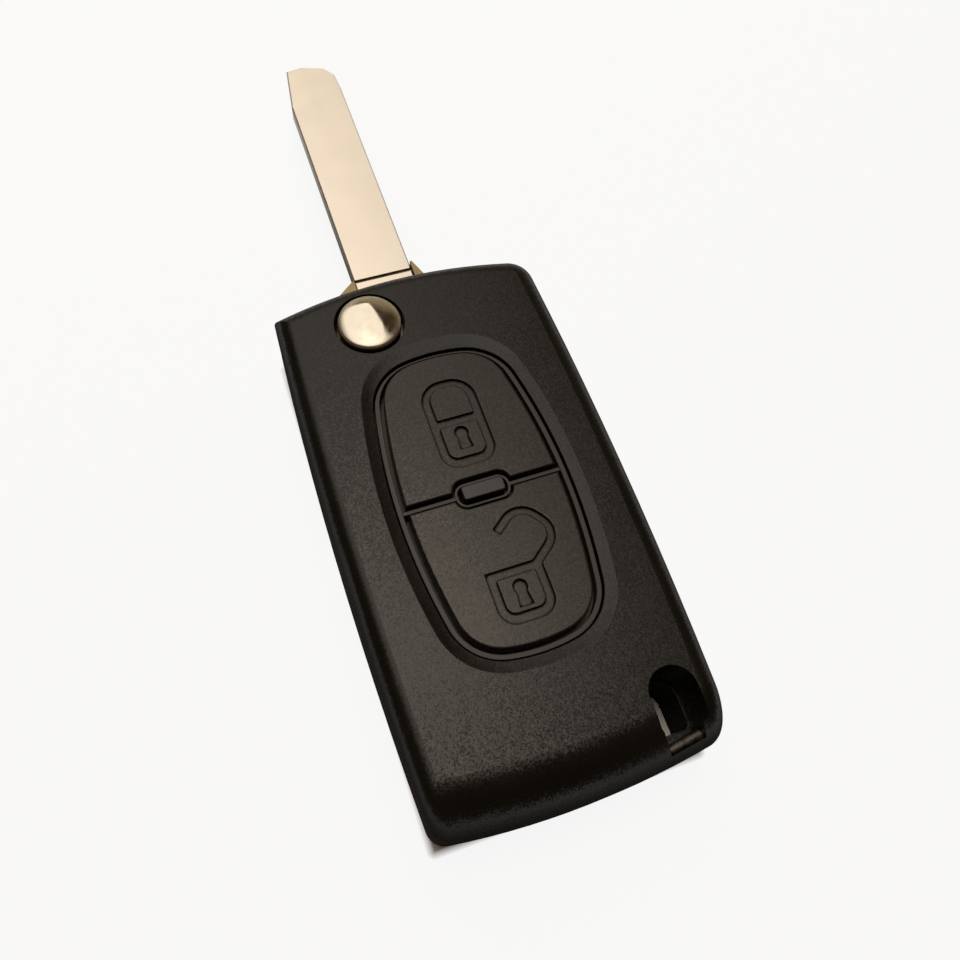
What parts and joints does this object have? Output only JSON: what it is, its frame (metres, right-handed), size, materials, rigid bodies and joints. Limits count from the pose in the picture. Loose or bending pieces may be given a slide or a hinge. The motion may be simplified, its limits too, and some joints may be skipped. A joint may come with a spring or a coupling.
{
  "type": "flip key remote shell",
  "caption": "Shell of a flip key remote: a blade folds out of the housing at the press of a round button, with lock and unlock keys and a key ring hole.",
  "frame": {"origin": "middle of the flat back of the housing, under the middle of its length and width", "axes": "+X to the right and +Y towards the tip of the open blade, seen from the keypad side; +Z out of the keypad"},
  "size_m": [0.0365, 0.1158, 0.0159],
  "materials": {
    "black_plastic": "fine spark-eroded texture",
    "key_plastic": "smooth satin",
    "black_silicone": "matt moulded silicone",
    "light_pipe_plastic": "smoked clear, polished",
    "chrome_plate": "bright polished plate",
    "spring_steel": "drawn wire and strip",
    "cast_nickel": "die-cast, bead-blasted, nickel plated",
    "satin_nickel": "satin nickel plate",
    "bright_steel": "turned bright steel",
    "black_screw": "black zinc plate",
    "contact_nickel": "nickel-plated strip"
  },
  "bodies": {
    "casing": {"front_cover": "black_plastic", "back_cover": "black_plastic", "keypad_mat": "black_silicone", "led_light_pipe": "light_pipe_plastic", "ring_bar": "bright_steel", "cover_screw_top": "black_screw", "cover_screw_bottom": "black_screw", "battery_contact_positive": "contact_nickel", "battery_contact_negative": "contact_nickel", "pivot_washer": "spring_steel"},
    "blade": {"blade_hub": "cast_nickel", "key_blade": "satin_nickel", "blade_pin": "spring_steel", "flip_spring": "spring_steel"},
    "button": {"release_button": "chrome_plate"},
    "lock": {"lock_key": "key_plastic"},
    "unlock": {"unlock_key": "key_plastic"}
  },
  "joints": [
    {"name": "blade_flip", "type": "hinge", "parent": "casing", "child": "blade", "pos_m": [-0.0059, 0.028, 0.0075], "axis": [0, 0, 1], "range_deg": [0, 180], "stiffness_Nm_per_rad": 0.005, "springref_deg": -85.94},
    {"name": "release_press", "type": "slide", "parent": "blade", "child": "button", "axis": [0, 0, -1], "range_m": [0, 0.0022], "stiffness_N_per_m": 1500, "springref_m": -0.003, "deforming": ["flip_spring"]},
    {"name": "lock_press", "type": "slide", "parent": "casing", "child": "lock", "axis": [0, 0, -1], "range_m": [0, 0.0006], "stiffness_N_per_m": 3000, "springref_m": -0.0002},
    {"name": "unlock_press", "type": "slide", "parent": "casing", "child": "unlock", "axis": [0, 0, -1], "range_m": [0, 0.0006], "stiffness_N_per_m": 3000, "springref_m": -0.0002}
  ]
}
